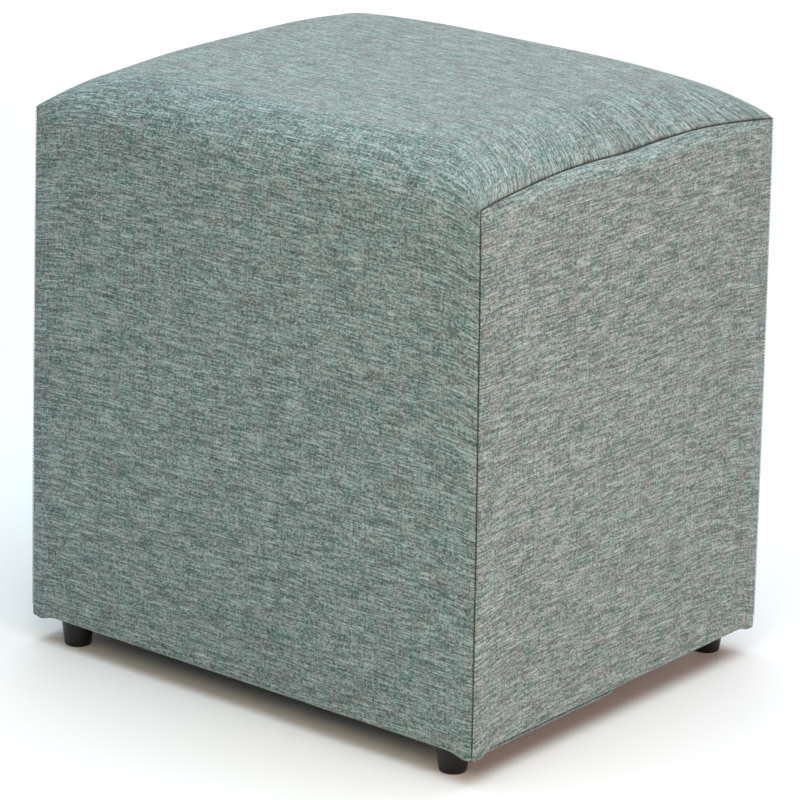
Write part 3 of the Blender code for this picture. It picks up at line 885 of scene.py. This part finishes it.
def finish(piece, material):
    """Give every material slot of a piece the material, or add one."""
    if not piece.material_slots:
        piece.data.materials.append(material)
    for slot in piece.material_slots:
        slot.material = material


for thread in threads:
    finish(thread, thread_material())
plastic = foot_material()
for end in ("front", "back"):
    for side in ("left", "right"):
        finish(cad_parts[f"foot_{end}_{side}"], plastic)
finish(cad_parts["base_board"], board_material())

# %% [markdown]
# ## Floor, light and camera
# The stool stands on a large, pale, plain floor that turns white. A big soft light overhead does
# most of the work. A warm fill comes from the right and a small warm one from near the front right
# corner, so the two upright faces differ in brightness and colour. A weak one from behind on the
# left lights the far sides. The camera uses a long lens, and a display transform that leaves colours as
# they are.

# %% Floor and world
scene = bpy.context.scene
scene.view_settings.view_transform = "Standard"
floor_mesh = bpy.data.meshes.new("floor")
FLOOR_HALF = 9.0
floor_mesh.from_pydata([(FLOOR_HALF * x, FLOOR_HALF * y, 0.0)
                        for x, y in ((-1, -1), (1, -1), (1, 1), (-1, 1))], [], [(0, 1, 2, 3)])
floor = bpy.data.objects.new("floor", floor_mesh)
scene.collection.objects.link(floor)
floor_finish, floor_shader = principled("pale_floor", 0.9, 0.1)
floor_shader.inputs["Base Color"].default_value = (0.86, 0.86, 0.86, 1.0)
floor_mesh.materials.append(floor_finish)

world = bpy.data.worlds.new("studio")
scene.world = world
world.use_nodes = True
world.node_tree.nodes["Background"].inputs["Color"].default_value = (1.0, 1.0, 1.0, 1.0)
world.node_tree.nodes["Background"].inputs["Strength"].default_value = 0.10

# %% Lights
middle = np.array([0.0, 0.0, 0.5 * (cad_low[2] + cad_high[2])])


def look_rotation(back, turn=0.0):
    """Rotation whose local Z points back, with its X level and then turned by an angle."""
    right = unit(np.array([-back[1], back[0], 0.0]))
    up = np.cross(back, right)
    turned_right = right * math.cos(turn) + up * math.sin(turn)
    turned_up = up * math.cos(turn) - right * math.sin(turn)
    return np.column_stack([turned_right, turned_up, back])


def place_object(thing, place, rotation):
    """Set a thing's matrix from a place and a 3 x 3 rotation."""
    matrix = np.eye(4)
    matrix[:3, :3] = rotation
    matrix[:3, 3] = place
    thing.matrix_world = mathutils.Matrix(matrix.tolist())


def soft_light(name, direction, distance, size, power, colour):
    """A square area light at a distance from the stool's middle, facing it."""
    data = bpy.data.lights.new(name, "AREA")
    data.size = size
    data.energy = power
    data.color = colour
    lamp = bpy.data.objects.new(name, data)
    lamp.visible_camera = False
    scene.collection.objects.link(lamp)
    back = unit(np.array(direction, float))
    place_object(lamp, middle + distance * back, look_rotation(back))
    return lamp


soft_light("overhead", (0.05, 0.02, 1.0), 3.4, 4.4, 215.0, (0.80, 0.93, 1.0))
soft_light("right_fill", (1.0, -0.10, 0.25), 2.6, 1.6, 35.0, (1.0, 0.61, 0.47))
soft_light("corner_fill", (0.55, -1.0, 0.55), 1.1, 0.4, 3.4, (1.0, 0.84, 0.60))
soft_light("back_fill", (-0.7, 0.9, 0.35), 3.0, 1.6, 20.0, (1.0, 0.90, 0.85))

# %% Camera
AZIMUTH, ELEVATION, ROLL = (math.radians(angle) for angle in (38.537, 18.226, 1.375))
CAMERA_DISTANCE = 2.976
back = np.array([math.sin(AZIMUTH) * math.cos(ELEVATION), -math.cos(AZIMUTH) * math.cos(ELEVATION),
                 math.sin(ELEVATION)])
level_right = np.array([math.cos(AZIMUTH), math.sin(AZIMUTH), 0.0])
level_up = np.cross(back, level_right)
aim = np.array([0.0, 0.0, 0.21024]) + 0.0009 * level_right - 0.0209 * level_up
camera_data = bpy.data.cameras.new("camera")
camera_data.lens = 188.26
camera_data.sensor_width = 36.0
camera_data.clip_end = 60.0
camera = bpy.data.objects.new("camera", camera_data)
scene.collection.objects.link(camera)
place_object(camera, aim + CAMERA_DISTANCE * back, look_rotation(back, ROLL))
scene.camera = camera
print("camera at", [round(value, 3) for value in camera.location])
